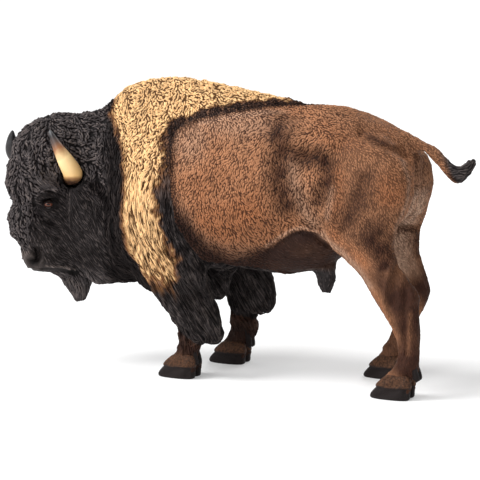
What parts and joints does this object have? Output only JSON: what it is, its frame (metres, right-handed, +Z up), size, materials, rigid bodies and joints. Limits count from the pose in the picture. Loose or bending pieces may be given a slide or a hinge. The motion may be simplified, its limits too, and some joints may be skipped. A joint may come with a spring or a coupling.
{
  "type": "toy bison figure",
  "caption": "Moulded plastic toy figure of a bull american bison, standing with its head turned to its left and its tail raised.",
  "frame": {"origin": "on the floor below the middle of the figure's bounding box", "axes": "+Z up, the trunk faces -Y, the bull's left side is +X"},
  "size_m": [0.0444, 0.1546, 0.091],
  "materials": {
    "charcoal_wool": "satin paint over moulded wool",
    "straw_cape": "satin paint over moulded hair, dark in the grooves",
    "chestnut_flank": "satin paint over short moulded fur",
    "umber_leg": "satin paint",
    "horn": "smooth satin paint, cream to dark tip",
    "eye": "gloss paint",
    "hoof": "satin paint"
  },
  "bodies": {
    "root": {"head": "charcoal_wool", "muzzle": "charcoal_wool", "beard": "charcoal_wool", "neck": "charcoal_wool", "brisket": "charcoal_wool", "pantaloon_left": "charcoal_wool", "pantaloon_right": "charcoal_wool", "tail_tuft": "charcoal_wool", "sheath": "charcoal_wool", "hump": "straw_cape", "shoulder_left": "straw_cape", "shoulder_right": "straw_cape", "trunk": "chestnut_flank", "hindquarters": "chestnut_flank", "thigh_left": "chestnut_flank", "thigh_right": "chestnut_flank", "tail": "chestnut_flank", "belly": "umber_leg", "foreleg_left": "umber_leg", "foreleg_right": "umber_leg", "hindleg_left": "umber_leg", "hindleg_right": "umber_leg", "horn_left": "horn", "horn_right": "horn", "eye_left": "eye", "eye_right": "eye", "toe_fore_left_a": "hoof", "toe_fore_left_b": "hoof", "toe_fore_right_a": "hoof", "toe_fore_right_b": "hoof", "toe_hind_left_a": "hoof", "toe_hind_left_b": "hoof", "toe_hind_right_a": "hoof", "toe_hind_right_b": "hoof", "dewclaw_fore_left_a": "hoof", "dewclaw_fore_left_b": "hoof", "dewclaw_fore_right_a": "hoof", "dewclaw_fore_right_b": "hoof", "dewclaw_hind_left_a": "hoof", "dewclaw_hind_left_b": "hoof", "dewclaw_hind_right_a": "hoof", "dewclaw_hind_right_b": "hoof"}
  },
  "joints": []
}
